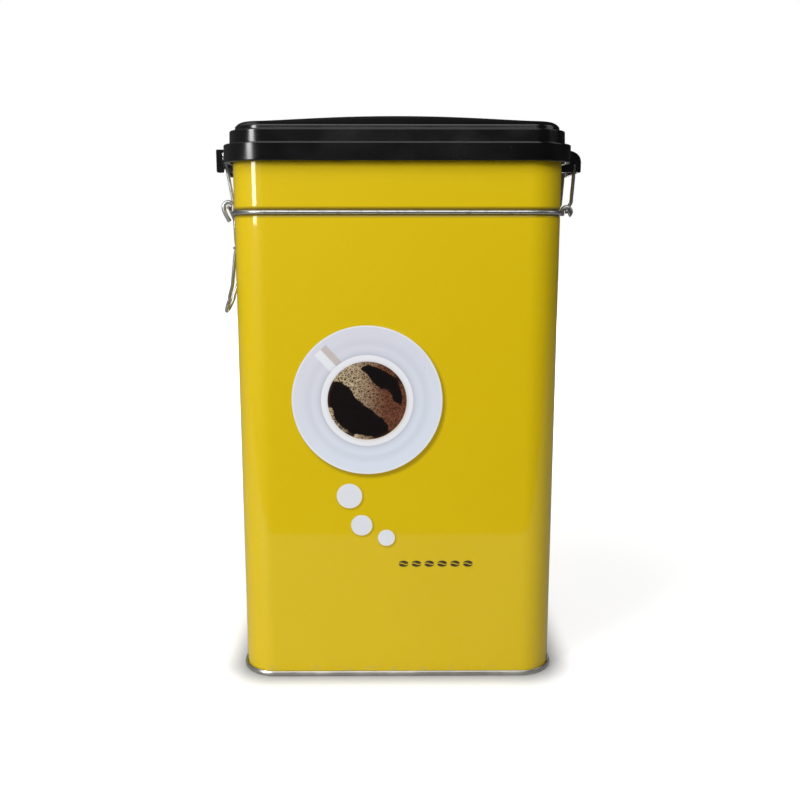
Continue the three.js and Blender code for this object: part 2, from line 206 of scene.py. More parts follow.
def wire(build, points, radius):
    """Round wire along a route, with its cut ends slightly rounded."""
    route = [Vector(p) for p in points]
    route = [p for i, p in enumerate(route) if i == 0 or (p - route[i - 1]).length > 1e-4]
    tangents = []
    for i, here in enumerate(route):
        before, after = route[max(i - 1, 0)], route[min(i + 1, len(route) - 1)]
        tangents.append((after - before).normalized())
    side = tangents[0].orthogonal().normalized()
    rings = []
    for i, (here, along) in enumerate(zip(route, tangents)):
        side = (side - along * side.dot(along)).normalized()
        up = along.cross(side)
        stations = [(0.0, 1.0)]
        if i == 0:
            stations = [(0.0, 0.55), (0.06, 0.85), (0.18, 0.97), (0.3, 1.0)]
        if i == len(route) - 1:
            stations = [(-0.3, 1.0), (-0.18, 0.97), (-0.06, 0.85), (0.0, 0.55)]
        for shift, share in stations:
            centre = here + along * shift * radius
            ring = []
            for k in range(WIRE_SIDES):
                angle = 2 * math.pi * k / WIRE_SIDES
                ring.append(centre + (side * math.cos(angle) + up * math.sin(angle)) * radius * share)
            rings.append(ring)
    skin_rings(build, [[route[0]], *rings, [route[-1]]], closed=False)


def mirror_y(points):
    """The same route on the other side, run backwards so that two halves join."""
    return [(x, -y, z) for x, y, z in reversed(points)]


def prism(build, shape, from_y, to_y, edge=0.25):
    """A prism along Y of a closed outline in X and Z, with small rounded end edges."""
    low = [build.verts.new((x, from_y, z)) for x, z in shape]
    high = [build.verts.new((x, to_y, z)) for x, z in shape]
    ends = [build.faces.new(low), build.faces.new(high[::-1])]
    for i in range(len(shape)):
        j = (i + 1) % len(shape)
        build.faces.new([low[j], low[i], high[i], high[j]])
    edges = list({e for face in ends for e in face.edges})
    bmesh.ops.bevel(
        build, geom=edges, offset=edge, segments=3, affect="EDGES", clamp_overlap=True, profile=0.5
    )


# ---- material helpers ----------------------------------------------------------------------
def srgb(red, green, blue):
    """A linear colour from display values of 0 to 255."""
    levels = [value / 255 for value in (red, green, blue)]
    return [v / 12.92 if v <= 0.04045 else ((v + 0.055) / 1.055) ** 2.4 for v in levels]


class Graph:
    """Short forms for a material's nodes. Places are the row frame's, in millimetres."""

    def __init__(self, name, roughness, metallic=0.0):
        self.material = bpy.data.materials.new(name)
        self.material.use_nodes = True
        self.tree = self.material.node_tree
        self.shader = self.tree.nodes["Principled BSDF"]
        self.shader.inputs["Roughness"].default_value = roughness
        self.shader.inputs["Metallic"].default_value = metallic
        coords = self.tree.nodes.new("ShaderNodeTexCoord")
        scale = self.tree.nodes.new("ShaderNodeVectorMath")
        scale.operation = "SCALE"
        scale.inputs["Scale"].default_value = 1 / MM
        self.link(coords.outputs["Object"], scale.inputs[0])
        self.place = scale.outputs[0]
        split = self.tree.nodes.new("ShaderNodeSeparateXYZ")
        self.link(self.place, split.inputs[0])
        self.x, self.y, self.z = split.outputs

    def link(self, source, socket):
        """Joins a node's output to a socket, or sets the socket to a plain value."""
        if isinstance(source, bpy.types.NodeSocket):
            self.tree.links.new(source, socket)
        elif isinstance(source, (list, tuple)) and len(source) == 3 and socket.type == "RGBA":
            socket.default_value = (*source, 1)
        else:
            socket.default_value = source

    def math(self, operation, *values, clamp=False):
        node = self.tree.nodes.new("ShaderNodeMath")
        node.operation = operation
        node.use_clamp = clamp
        for value, socket in zip(values, node.inputs):
            self.link(value, socket)
        return node.outputs[0]

    def add(self, a, b):
        return self.math("ADD", a, b)

    def times(self, a, b):
        return self.math("MULTIPLY", a, b)

    def ramp(self, value, low, high, to_low=0.0, to_high=1.0):
        """A smooth step from to_low at low to to_high at high."""
        node = self.tree.nodes.new("ShaderNodeMapRange")
        node.interpolation_type = "SMOOTHSTEP"
        for name, item in zip(("Value", "From Min", "From Max", "To Min", "To Max"),
                              (value, low, high, to_low, to_high)):
            self.link(item, node.inputs[name])
        return node.outputs[0]

    def mix(self, share, a, b, blend="MIX"):
        node = self.tree.nodes.new("ShaderNodeMix")
        node.data_type = "RGBA"
        node.blend_type = blend
        self.link(share, node.inputs[0])
        self.link(a, node.inputs[6])
        self.link(b, node.inputs[7])
        return node.outputs[2]

    def noise(self, size, detail=2.0, roughness=0.5, stretch=None):
        """Noise of about the given feature size in millimetres, from 0 to 1."""
        node = self.tree.nodes.new("ShaderNodeTexNoise")
        node.inputs["Scale"].default_value = 1 / size
        node.inputs["Detail"].default_value = detail
        node.inputs["Roughness"].default_value = roughness
        place = self.place
        if stretch:
            squeeze = self.tree.nodes.new("ShaderNodeVectorMath")
            squeeze.operation = "MULTIPLY"
            squeeze.inputs[1].default_value = stretch
            self.link(place, squeeze.inputs[0])
            place = squeeze.outputs[0]
        self.link(place, node.inputs["Vector"])
        return node.outputs["Fac"]

    def cells(self, size, feature="F1"):
        """Distance inside scattered cells of about the given size in millimetres."""
        node = self.tree.nodes.new("ShaderNodeTexVoronoi")
        node.feature = feature
        node.inputs["Scale"].default_value = 1 / size
        self.link(self.place, node.inputs["Vector"])
        return node.outputs["Distance"]

    def distance(self, x, z):
        """Distance from the line along Y through a point of the front face."""
        dx, dz = self.add(self.x, -x), self.add(self.z, -z)
        return self.math("SQRT", self.add(self.times(dx, dx), self.times(dz, dz)))

    def disc(self, distance, radius, soft=0.09):
        """1 inside the radius and 0 outside it, with a soft edge."""
        return self.ramp(distance, radius - soft, radius + soft, 1.0, 0.0)

    def colour(self, value):
        self.link(value, self.shader.inputs["Base Color"])

    def roughness(self, value):
        self.link(value, self.shader.inputs["Roughness"])

    def bump(self, height, depth_mm, strength=1.0):
        node = self.tree.nodes.new("ShaderNodeBump")
        node.inputs["Strength"].default_value = strength
        node.inputs["Distance"].default_value = depth_mm * MM
        self.link(height, node.inputs["Height"])
        self.link(node.outputs[0], self.shader.inputs["Normal"])

    def coat(self, weight, roughness):
        self.shader.inputs["Coat Weight"].default_value = weight
        self.shader.inputs["Coat Roughness"].default_value = roughness


# ---- materials -----------------------------------------------------------------------------
SAUCER = (-10.3, 99.7)  # centre of the printed cup and saucer on the front face, X and Z
SAUCER_RADIUS, CUP_RADIUS, COFFEE_RADIUS = 25.5, 15.6, 13.4
DOTS = [(-16.6, 66.35, 4.4), (-12.45, 55.85, 3.7), (-3.9, 51.3, 2.95)]
BEANS_X, BEANS_Z, BEAN_PITCH, BEAN_COUNT = -0.2, 41.8, 4.5, 6


def printed_cup(g, colour):
    """A white cup of coffee on its saucer, seen from above."""
    d = g.distance(*SAUCER)
    white = srgb(233, 236, 240)
    shade = srgb(198, 203, 214)
    fall = g.distance(SAUCER[0] + 0.9, SAUCER[1] - 1.1)
    cast = g.times(g.ramp(fall, SAUCER_RADIUS - 0.6, SAUCER_RADIUS + 1.0, 1.0, 0.0), 0.62)
    colour = g.mix(cast, colour, srgb(120, 92, 14))
    light = g.ramp(g.add(g.times(g.x, -0.6), g.z), SAUCER[1] - 26, SAUCER[1] + 34)
    saucer = g.mix(light, srgb(223, 231, 243), srgb(218, 219, 230))
    well = g.times(g.ramp(d, 15.5, 18.5, 1.0, 0.0), 0.5)
    saucer = g.mix(well, saucer, shade)
    crest = g.times(g.ramp(d, 18.0, 19.8), g.ramp(d, 19.8, 22.4, 1.0, 0.0))
    saucer = g.mix(g.times(crest, 0.35), saucer, srgb(200, 204, 216))
    lip = g.ramp(d, SAUCER_RADIUS - 0.75, SAUCER_RADIUS - 0.3)
    saucer = g.mix(g.times(lip, 0.8), saucer, srgb(236, 238, 240))
    # The handle points up and to the left, with a warm shadow on its right side.
    across = g.add(g.times(g.add(g.x, -SAUCER[0]), 0.731), g.times(g.add(g.z, -SAUCER[1]), 0.682))
    along = g.add(g.times(g.add(g.x, -SAUCER[0]), -0.682), g.times(g.add(g.z, -SAUCER[1]), 0.731))
    reach = g.times(g.ramp(along, 13.5, 14.0), g.ramp(along, 23.1, 23.6, 1.0, 0.0))
    shadow = g.times(g.ramp(across, 0.2, 0.7), g.ramp(across, 2.5, 3.2, 1.0, 0.0))
    handle = g.times(g.ramp(across, -2.5, -2.1), g.ramp(across, 0.3, 0.7, 1.0, 0.0))
    saucer = g.mix(g.times(g.times(shadow, reach), 0.75), saucer, srgb(196, 182, 172))
    saucer = g.mix(g.times(handle, reach), saucer, white)
    colour = g.mix(g.disc(d, SAUCER_RADIUS), colour, saucer)
    inner = g.ramp(g.add(g.x, g.times(g.z, -1.0)), -SAUCER[1] - 12, -SAUCER[1] + 14)
    wall = g.mix(inner, srgb(226, 227, 234), srgb(226, 219, 206))
    rim = g.mix(g.ramp(d, COFFEE_RADIUS + 0.2, COFFEE_RADIUS + 1.1), wall, srgb(236, 238, 243))
    contact = g.times(g.ramp(d, CUP_RADIUS - 0.1, CUP_RADIUS + 1.3, 1.0, 0.0), 0.3)
    colour = g.mix(contact, colour, srgb(168, 172, 186))
    colour = g.mix(g.disc(d, CUP_RADIUS), colour, rim)
    return g.mix(g.disc(d, COFFEE_RADIUS, 0.12), colour, coffee(g, d))


def coffee(g, d):
    """Dark coffee with a drift of crema: fine bubbles, and a few larger ones."""
    drift = g.noise(9.0, 3.0)
    ring = g.ramp(d, COFFEE_RADIUS - 2.4, COFFEE_RADIUS - 0.6)
    # The drift runs from the upper left to the lower right.
    band = g.add(g.times(g.add(g.x, -SAUCER[0] - 1.5), 0.66), g.times(g.add(g.z, -SAUCER[1] - 1.5), 0.75))
    lane = g.ramp(g.math("ABSOLUTE", band), 1.5, 6.5, 1.0, 0.0)
    cover = g.ramp(g.add(g.add(drift, g.times(lane, 0.42)), g.times(ring, 0.2)), 0.66, 0.74)
    fine = g.ramp(g.cells(0.8, "DISTANCE_TO_EDGE"), 0.03, 0.14, 1.0, 0.0)
    coarse = g.ramp(g.cells(1.5, "DISTANCE_TO_EDGE"), 0.02, 0.09, 1.0, 0.0)
    bubbles = g.math("MAXIMUM", g.times(fine, 0.75), coarse)
    large = g.ramp(g.cells(2.1), 0.1, 0.17)
    tan = g.mix(g.ramp(g.x, SAUCER[0] - 7, SAUCER[0] + 7), srgb(208, 188, 152), srgb(124, 76, 54))
    foam = g.mix(g.add(0.12, g.times(bubbles, 0.85)), srgb(56, 31, 20), tan)
    foam = g.mix(large, srgb(46, 26, 18), foam)
    liquid = g.mix(g.ramp(d, COFFEE_RADIUS - 1.2, COFFEE_RADIUS), srgb(12, 5, 6), srgb(58, 32, 18))
    return g.mix(cover, liquid, foam)


def printed_dots(g, colour):
    """Three plain white dots below the saucer, each smaller than the last."""
    for x, z, radius in DOTS:
        cast = g.ramp(g.distance(x + 0.35, z - 0.4), radius - 0.3, radius + 0.75, 1.0, 0.0)
        colour = g.mix(g.times(cast, 0.5), colour, srgb(132, 104, 20))
        d = g.distance(x, z)
        face = g.mix(g.ramp(d, radius - 0.5, radius - 0.1), srgb(226, 229, 236), srgb(236, 232, 222))
        colour = g.mix(g.disc(d, radius), colour, face)
    return colour


def printed_beans(g, colour):
    """A short row of plain coffee beans under the dots."""
    u = g.times(g.add(g.x, -BEANS_X), 1 / BEAN_PITCH)
    cell = g.math("SUBTRACT", g.math("FRACT", u), 0.5)
    inside = g.times(g.ramp(u, 0.0, 0.02), g.ramp(u, BEAN_COUNT - 0.02, BEAN_COUNT, 1.0, 0.0))
    dx = g.times(cell, BEAN_PITCH / 1.75)
    dz = g.times(g.add(g.z, -BEANS_Z), 1 / 1.15)
    oval = g.add(g.times(dx, dx), g.times(dz, dz))
    bean = g.ramp(oval, 0.88, 1.12, 1.0, 0.0)
    crease = g.math("ABSOLUTE", g.add(dz, g.times(g.math("SINE", g.times(dx, 3.1)), 0.22)))
    bean = g.times(bean, g.ramp(crease, 0.08, 0.2))
    return g.mix(g.times(bean, inside), colour, srgb(58, 46, 22))


def printed_material():
    """Yellow ink under clear gloss varnish, with the print on the front face only."""
    g = Graph("printed_steel", 0.45)
    yellow = g.mix(g.noise(0.45, 1.0), srgb(223, 192, 8), srgb(218, 187, 7))
    yellow = g.mix(g.times(g.noise(34.0, 2.0), 0.5), yellow, srgb(214, 183, 8))
    art = printed_beans(g, printed_dots(g, printed_cup(g, yellow)))
    front = g.ramp(g.y, -HALF_DEPTH + 0.4, -HALF_DEPTH + 0.6, 1.0, 0.0)
    colour = g.mix(front, yellow, art)
    # Painted shade darkens the neck groove above and below the wire.
    from_wire = g.math("ABSOLUTE", g.add(g.z, -GROOVE_Z))
    groove_shade = g.ramp(from_wire, 1.1, 2.1, 0.7, 0.0)
    colour = g.mix(groove_shade, colour, srgb(84, 68, 14))
    # Handling wear: pale rubbed patches beside the seam, and a few dark specks.
    worn = g.times(g.ramp(g.z, 4.5, 2.2), g.ramp(g.noise(2.6, 4.0), 0.52, 0.66))
    colour = g.mix(g.times(worn, 0.45), colour, srgb(190, 172, 98))
    speck = g.times(g.ramp(g.cells(9.0), 0.012, 0.02, 1.0, 0.0), 0.5)
    g.colour(g.mix(speck, colour, srgb(120, 96, 20)))
    g.roughness(g.ramp(g.noise(1.2, 3.0), 0.3, 0.7, 0.38, 0.5))
    g.bump(g.add(g.times(g.noise(14.0, 1.0), 1.0), g.times(g.noise(0.5, 2.0), 0.01)), 0.05)
    g.coat(0.8, 0.04)
    g.shader.inputs["Specular IOR Level"].default_value = 0.15
    return g.material


def tinplate_material(name, colour, roughness):
    """Rolled tinplate, bare or lacquered: fine rolling lines and faint smears."""
    g = Graph(name, roughness, metallic=1.0)
    lines = g.noise(0.35, 3.0, stretch=(0.04, 0.04, 1.0))
    smear = g.noise(11.0, 4.0)
    dark = [v * 0.8 for v in colour]
    g.colour(g.mix(g.ramp(smear, 0.35, 0.7), dark, colour))
    g.roughness(g.add(g.times(lines, 0.14), g.ramp(smear, 0.3, 0.75, roughness - 0.06, roughness + 0.08)))
    g.bump(lines, 0.006)
    return g.material


def wire_material():
    """Bright wire with a fine grain, and dull marks where it has been handled."""
    g = Graph("bright_wire", 0.24, metallic=1.0)
    marks = g.noise(1.6, 4.0)
    g.colour(g.mix(g.ramp(marks, 0.45, 0.75), srgb(190, 191, 190), srgb(154, 154, 151)))
    g.roughness(g.ramp(marks, 0.35, 0.8, 0.28, 0.42))
    g.bump(g.noise(0.3, 2.0), 0.004)
    return g.material


def lid_material():
    """Black moulded plastic with a soft shine, faint haze and a little dust."""
    g = Graph("black_plastic", 0.22)
    haze = g.noise(16.0, 4.0)
    dust = g.ramp(g.cells(2.3), 0.03, 0.05, 1.0, 0.0)
    few = g.ramp(g.noise(6.0, 2.0), 0.55, 0.62)
    black = g.mix(haze, srgb(8, 8, 9), srgb(12, 12, 13))
    g.colour(g.mix(g.times(g.times(dust, few), 0.5), black, srgb(120, 118, 114)))
    g.roughness(g.ramp(haze, 0.3, 0.75, 0.16, 0.28))
    g.bump(g.add(g.times(g.noise(0.35, 2.0), 0.12), g.noise(9.0, 1.0)), 0.03)
    return g.material


def seal_material():
    """Pale matt rubber, slightly uneven in colour."""
    g = Graph("seal_rubber", 0.6)
    g.colour(g.mix(g.noise(3.0, 3.0), srgb(222, 219, 208), srgb(206, 202, 190)))
    g.bump(g.noise(0.4, 2.0), 0.01)
    return g.material


# ---- body and base ---------------------------------------------------------------------------
def groove(z):
    """How far the neck groove sets the wall in at a height."""
    return -GROOVE_DEPTH * math.exp(-(((z - GROOVE_Z) / GROOVE_SPREAD) ** 2))


def tin_body(build):
    """The sheet wall: plain below, grooved at the neck and rolled in at the top."""
    roll = 0.8
    roll_z = BODY_TOP - roll
    steps = [GROOVE_Z + 0.25 * i for i in range(-11, 12)]
    outside = [(0.0, BODY_FOOT), (0.0, 60.0), (0.0, 120.0)] + [(groove(z), z) for z in steps]
    inside = [(groove(z) - SHEET, z) for z in reversed(steps)] + [(-SHEET, 60.0), (-SHEET, BODY_FOOT)]
    top = arc(-roll, roll_z, roll, 0, 250, 16)
    section = outside + top + [(-SHEET, roll_z - roll - 0.2)] + inside
    walled(build, section, side_steps=6)


def bottom_end(build):
    """Recessed base panel and the double seam that folds round the body's foot."""
    hook = 0.3
    wall = -SHEET - hook
    section = [
        (wall - 7.0, BASE_PANEL_Z),
        (wall, BASE_PANEL_Z, 0.8),
        (wall, 0.5, 0.05),
        (hook, 0.5, 0.05),
        (hook, SEAM_HEIGHT, 0.2),
        (0.62, SEAM_HEIGHT, 0.3),
        (SEAM_PROUD, 1.2, 0.5),
        (SEAM_PROUD, 0.45, 0.4),
        (0.6, 0.0, 0.3),
        (wall - SHEET + 0.2, 0.0, 0.2),
        (wall - SHEET, 0.3, 0.2),
        (wall - SHEET, BASE_PANEL_Z - SHEET, 0.5),
        (wall - 4.0, BASE_PANEL_Z - SHEET, 0.4),
        (wall - 4.6, BASE_PANEL_Z - SHEET + 0.15, 0.4),
        (wall - 7.0, BASE_PANEL_Z - SHEET + 0.15),
    ]
    below = BASE_PANEL_Z - SHEET + 0.15
    inner = wall - 7.0
    closing = [(inner, BASE_PANEL_Z, s) for s in (0.3, 0.65)]
    start = [(None, BASE_PANEL_Z)] + closing
    end = [(inner, below, s) for s in (0.65, 0.3)] + [(None, below)]
    walled(build, start + rounded(section, 0.3) + end, side_steps=6, closed=False)


# ---- lid ---------------------------------------------------------------------------------------
def crown_z(x, y):
    """Height of the raised panel's top, which falls away towards every edge."""
    fall_x = 1 - min(abs(x) / (HALF_WIDTH + PANEL_OUT), 1) ** 2
    fall_y = 1 - min(abs(y) / (HALF_DEPTH + PANEL_OUT), 1) ** 2
    return SHOULDER_Z + CROWN * (fall_x * fall_y) ** 0.75


def lid_shell(build):
    """Skirt, tier and crowned panel outside, with the plug wall and hollow inside."""
    def under(x, y):
        return crown_z(x, y) - LID_WALL

    plug_in = PLUG_OUT - PLUG_WALL
    skirt_in = SKIRT_OUT - LID_WALL
    tier_in = TIER_OUT - 1.5
    panel_in = PANEL_OUT - LID_WALL
    shares = (0.12, 0.25, 0.4, 0.55, 0.7, 0.85)
    hub = -22.0
    top = [(None, crown_z)] + [(hub, crown_z, s) for s in shares]
    top += [(o, crown_z) for o in (hub, -18.0, -14.5, -11.5, -8.5, -6.0, -4.2)]
    outside = [
        (-3.0, SHOULDER_Z + 0.42),
        (PANEL_OUT - 1.0, SHOULDER_Z - 0.05, 0.35),
        (PANEL_OUT - 0.1, SHOULDER_Z - 0.9, 0.35),
        (PANEL_OUT, TIER_TOP + 0.05, 0.3),
        (TIER_OUT - 0.05, TIER_TOP, 0.35),
        (TIER_OUT + 0.1, SKIRT_TOP + 0.05, 0.3),
        (SKIRT_OUT - 0.05, SKIRT_TOP, 0.35),
        (SKIRT_OUT, SKIRT_FOOT, 0.45),
        (skirt_in, SKIRT_FOOT, 0.2),
        (skirt_in, SEAT_Z, 0.3),
        (PLUG_OUT, SEAT_Z, 0.3),
        (PLUG_OUT, PLUG_Z, 0.45),
        (plug_in, PLUG_Z, 0.3),
        (plug_in, SKIRT_TOP + 0.2, 0.3),
        (tier_in, SKIRT_TOP + 0.2, 0.3),
        (tier_in, TIER_TOP - LID_WALL, 0.4),
        (panel_in, TIER_TOP - LID_WALL, 0.3),
        (panel_in, SHOULDER_Z - LID_WALL - 0.3, 0.5),
        (-4.6, SHOULDER_Z - LID_WALL + 0.3),
    ]
    bottom = [(o, under) for o in (-8.5, -14.5, hub)]
    bottom += [(hub, under, s) for s in (0.7, 0.4, 0.15)] + [(None, under)]
    walled(build, top + rounded(outside, 0.3) + bottom, side_steps=SIDE_STEPS, closed=False)


def box_outline(x0, x1, z0, z1):
    """A rectangle in X and Z, counter-clockwise."""
    return [(x0, z0), (x1, z0), (x1, z1), (x0, z1)]


def closure_lug_parts():
    """Two roofed channel ends, the tab on the skirt, and the tongue under the bail's bar."""
    root = -(HALF_WIDTH + SKIRT_OUT - 0.7)
    skirt_in = -(HALF_WIDTH + SKIRT_OUT - LID_WALL)
    inner = -CLOSURE_OUT + PLATE
    roof = SKIRT_TOP - 0.02
    channel = [
        (root, roof, 0.0),
        (-CLOSURE_OUT, roof, 0.4),
        (-CLOSURE_OUT, LUG_FOOT, 0.3),
        (inner, LUG_FOOT, 0.15),
        (inner, roof - 0.9, 0.4),
        (root, roof - 0.9, 0.0),
    ]
    window = BAIL_LEG_Y + 1.5
    channel = rounded(channel, 0.2, closed=True)
    tab = rounded(box_outline(-58.3, skirt_in - 0.05, LUG_FOOT, SKIRT_FOOT + 1.2), 0.3, closed=True)
    tongue_top = BAIL_BAR[1] - BAIL_WIRE - 0.35
    tongue = box_outline(-62.2, skirt_in - 0.4, tongue_top - 1.6, tongue_top)
    tongue = rounded(tongue, 0.45, closed=True)
    return [
        (channel, -LUG_HALF, -window),
        (channel, window, LUG_HALF),
        (tab, -LUG_HALF, LUG_HALF),
        (tongue, -7.6, 7.6),
    ]


def hinge_lug_parts():
    """A hood over the link's crossbar, end walls, and the ledge under the bar."""
    root = HALF_WIDTH + SKIRT_OUT - 0.7
    inside = HALF_WIDTH + SKIRT_OUT - 0.1
    plate = LUG_OUT - 1.0
    top, foot = SKIRT_TOP, LUG_FOOT
    outer = [
        (root, top - 0.1, 0.0),
        (LUG_OUT - 3.3, top - 0.4, 0.9),
        (LUG_OUT - 1.6, top - 1.2, 0.8),
        (LUG_OUT - 0.5, top - 2.3, 0.8),
        (LUG_OUT, top - 3.7, 0.8),
    ]
    roof_under = [
        (plate - 1.1, top - 2.0, 0.5),
        (plate - 2.1, top - 1.6, 0.5),
        (inside, top - 1.6, 0.0),
    ]
    slot_z = JOINT["lid_hinge"][1] + 2.0
    hood = outer + [(LUG_OUT, foot, 0.4), (plate, foot, 0.2), (plate, top - 3.9, 0.4)]
    hood += [(plate - 0.3, top - 2.9, 0.4)] + roof_under + [(root, top - 1.6, 0.0)]
    strip = outer[:3] + [(plate - 1.0, slot_z, 0.1)] + roof_under + [(root, top - 1.6, 0.0)]
    cheek = outer + [
        (LUG_OUT, foot, 0.4),
        (plate, foot, 0.2),
        (plate - 0.4, foot + 2.6, 0.4),
        (plate - 0.9, foot + 3.0, 0.3),
        (plate - 1.5, foot + 2.4, 0.3),
        (plate - 1.7, foot, 0.3),
        (root, foot, 0.0),
    ]
    ledge_top = JOINT["lid_hinge"][1] - LINK_WIRE - 0.3
    ledge = box_outline(root, plate + 0.5, 178.4, ledge_top)
    wall = LUG_HALF - 1.3
    slot = (LINK_LEG_Y - 1.1, LINK_LEG_Y + 1.1)
    hood, strip, cheek = (rounded(shape, 0.2, closed=True) for shape in (hood, strip, cheek))
    return [
        (cheek, -LUG_HALF, -wall),
        (cheek, wall, LUG_HALF),
        (hood, -wall - 0.6, -slot[1]),
        (hood, slot[1], wall + 0.6),
        (hood, -slot[0], slot[0]),
        (strip, -slot[1] - 0.5, slot[1] + 0.5),
        (rounded(ledge, 0.2, closed=True), -slot[0], slot[0]),
    ]


def make_lid():
    """The shell joined with its lugs into one closed moulding."""
    lid = make_object("lid_moulding", lid_shell)
    lid.modifiers.clear()
    for number, (shape, from_y, to_y) in enumerate(closure_lug_parts() + hinge_lug_parts()):
        part = make_object(f"lug_part_{number}", lambda b: prism(b, shape, from_y, to_y))
        join = lid.modifiers.new("join", "BOOLEAN")
        join.operation, join.solver, join.object = "UNION", "EXACT", part
        depsgraph = bpy.context.evaluated_depsgraph_get()
        joined = bpy.data.meshes.new_from_object(lid.evaluated_get(depsgraph))
        lid.modifiers.remove(join)
        lid.data = joined
        bpy.data.objects.remove(part)
    lid.data.name = "lid_moulding"
    lid.data.set_sharp_from_angle(angle=math.radians(40))
    lid.modifiers.new("flat_faces_stay_flat", "WEIGHTED_NORMAL").keep_sharp = True
    return lid


# ---- wires ---------------------------------------------------------------------------------------
def neck_wire():
    """One half of the neck ring, from the closure eye round the front to the hinge eye."""
    px, pz = JOINT["lever_pivot"]
    hx, hz = JOINT["link_pivot"]
    eye = [
        (px + 0.3, -EYE_Y, pz - 5),
        (px - 1.0, -EYE_Y, pz - 2.6),
        (px - EYE_RADIUS + 0.15, -EYE_Y, pz - 1.1),
        *((x, -EYE_Y, z) for x, z in arc(px, pz, EYE_RADIUS, 180, 0, 18)),
        (px + EYE_RADIUS, -EYE_Y, GROOVE_Z + 1.3),
    ]
    turn = [
        (px + EYE_RADIUS, -EYE_Y, GROOVE_Z + 1.1),
        (px + EYE_RADIUS, -EYE_Y, GROOVE_Z),
        (px + EYE_RADIUS, -EYE_Y - 2.2, GROOVE_Z),
        (-HALF_WIDTH, -EYE_Y - 7.5, GROOVE_Z),
        (-HALF_WIDTH, -HALF_DEPTH + CORNER_RADIUS, GROOVE_Z),
    ]
    corner_x, corner_y = HALF_WIDTH - CORNER_RADIUS, -(HALF_DEPTH - CORNER_RADIUS)
    left = [(x, y, GROOVE_Z) for x, y in arc(-corner_x, corner_y, CORNER_RADIUS, 180, 270, 24)]
    right = [(x, y, GROOVE_Z) for x, y in arc(corner_x, corner_y, CORNER_RADIUS, 270, 360, 24)]
    back = [
        (HALF_WIDTH, -HALF_DEPTH + CORNER_RADIUS, GROOVE_Z),
        (HALF_WIDTH, -EYE_Y - 7.5, GROOVE_Z),
        (hx - LINK_EYE_RADIUS, -EYE_Y - 2.0, GROOVE_Z),
        (hx - LINK_EYE_RADIUS, -EYE_Y, GROOVE_Z),
        (hx - LINK_EYE_RADIUS, -EYE_Y, hz - 0.4),
    ]
    ring = [(x, -EYE_Y, z) for x, z in arc(hx, hz, LINK_EYE_RADIUS, 180, -60, 22)]
    return [*eye, *bend(turn, 1.6)[1:-1], *left, *right, *bend(back, 1.6)[1:-1], *ring]


def lever_wire():
    """Pins in the closure eyes, cranks, jogs for the bail's hooks, and the narrow grip."""
    px, pz = JOINT["lever_pivot"]
    bx, bz = JOINT["bail_pivot"]
    half = [
        (px, -PIN_END_Y, pz),
        (px, -CRANK_Y, pz),
        (bx - 0.3, -CRANK_Y, pz - 4.3),
        (bx, -CRANK_Y, bz),
        (bx, -GRIP_Y, bz),
        (bx - 1.1, -GRIP_Y + 0.4, bz - 3),
        (bx - 1.9, -GRIP_Y + 0.8, bz - 9),
        (bx - 2.7, -GRIP_END_Y - 1.2, bz - 14.5),
        (bx - 4.0, -GRIP_END_Y - 0.2, bz - 18.5),
    ]
    tip = lever_low.x + LEVER_WIRE
    grip = []
    for y, z in arc(0, GRIP_END_Z, GRIP_END_Y, 180, 265, 16):
        drop = (GRIP_END_Z - z) / GRIP_END_Y
        grip.append((tip + 1.9 * (1 - drop), y, z))
    half = bend(half, 1.1) + grip
    return half + [(tip, 0, GRIP_END_Z - GRIP_END_Y)] + mirror_y(half)


def bail_wire():
    """Hooks round the lever's jogs, two legs, and the crossbar that lies in the lug."""
    px, pz = JOINT["bail_pivot"]
    x, z = BAIL_BAR
    hook = [(u, -BAIL_LEG_Y, v) for u, v in arc(px, pz, HOOK_RADIUS, -150, 0, 18)]
    leg = [
        (px + HOOK_RADIUS, -BAIL_LEG_Y, pz + 0.2),
        (px + HOOK_RADIUS - 0.1, -BAIL_LEG_Y, pz + 1.5),
        (x + 0.5, -BAIL_LEG_Y, z - 3),
        (x, -BAIL_LEG_Y, z),
    ]
    return [*hook, *bend([*leg, *mirror_y(leg)], 1.2)[1:-1], *mirror_y(hook)]


def link_wire():
    """Pins in the hinge eyes, two legs, and the crossbar that the lid turns on."""
    px, pz = JOINT["link_pivot"]
    x, z = JOINT["lid_hinge"]
    half = [
        (px, -PIN_END_Y, pz),
        (px, -LINK_LEG_Y, pz),
        (px + 1.9, -LINK_LEG_Y, pz + 3.2),
        (px + 2.5, -LINK_LEG_Y, pz + 12),
        (x + 0.5, -LINK_LEG_Y, z - 2.2),
        (x, -LINK_LEG_Y, z),
    ]
    return bend([*half, *mirror_y(half)], 1.2)


def lid_seal(build):
    """The gasket between skirt and plug wall, 0.3 mm clear of the lid all round."""
    outer = SKIRT_OUT - LID_WALL - 0.3
    inner = PLUG_OUT + 0.3
    top = SEAT_Z - 0.3
    shape = [(outer, top), (outer, top - 1.2), (inner, top - 1.2), (inner, top)]
    walled(build, rounded(shape, 0.35, closed=True), side_steps=4)


# ---- assembly ------------------------------------------------------------------------------------
def place(piece, body, node, slot, *materials):
    """Gives a piece its materials and its body, and hides the CAD node it replaces; the slot is not used.
    """
    for material in materials:
        piece.data.materials.append(material)
    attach(piece, body)
    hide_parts(node)


